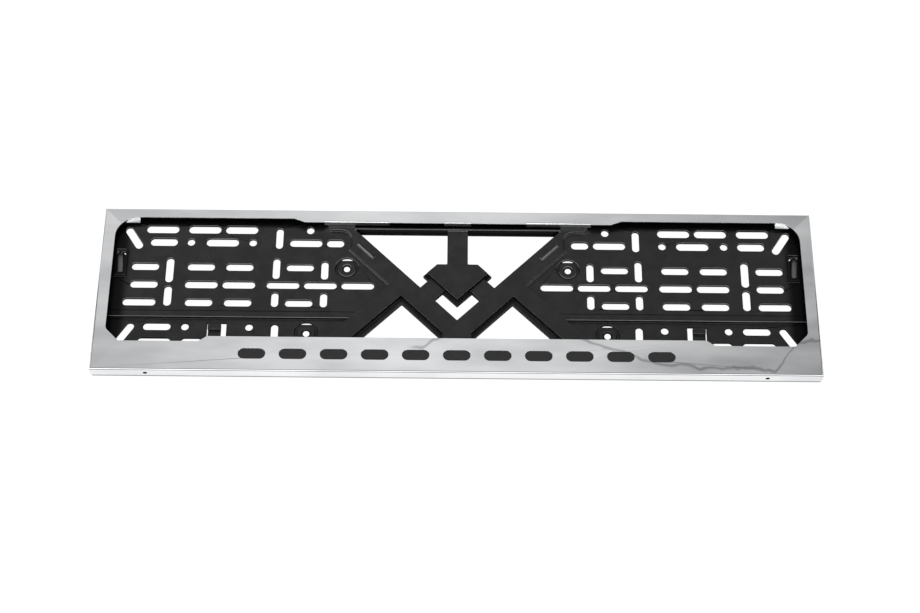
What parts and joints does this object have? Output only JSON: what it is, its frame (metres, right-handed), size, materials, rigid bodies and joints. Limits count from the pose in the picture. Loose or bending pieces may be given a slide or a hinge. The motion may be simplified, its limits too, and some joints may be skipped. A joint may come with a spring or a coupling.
{
  "type": "number plate holder",
  "caption": "Polished stainless frame over a black moulded base with slots and bosses, holding a number plate flat against a car body.",
  "frame": {"origin": "under the middle of the back, on the plane of the base's back face", "axes": "+X along the length, +Y up the plate, +Z out of the face"},
  "size_m": [0.535, 0.135, 0.012],
  "materials": {
    "polished_steel": "mirror polished stainless steel",
    "black_plastic": "moulded, semi-matt",
    "black_strip": "smooth, matt"
  },
  "bodies": {
    "root": {"front_frame": "polished_steel", "base_plate": "black_plastic", "backing_strip": "black_strip"}
  },
  "joints": []
}
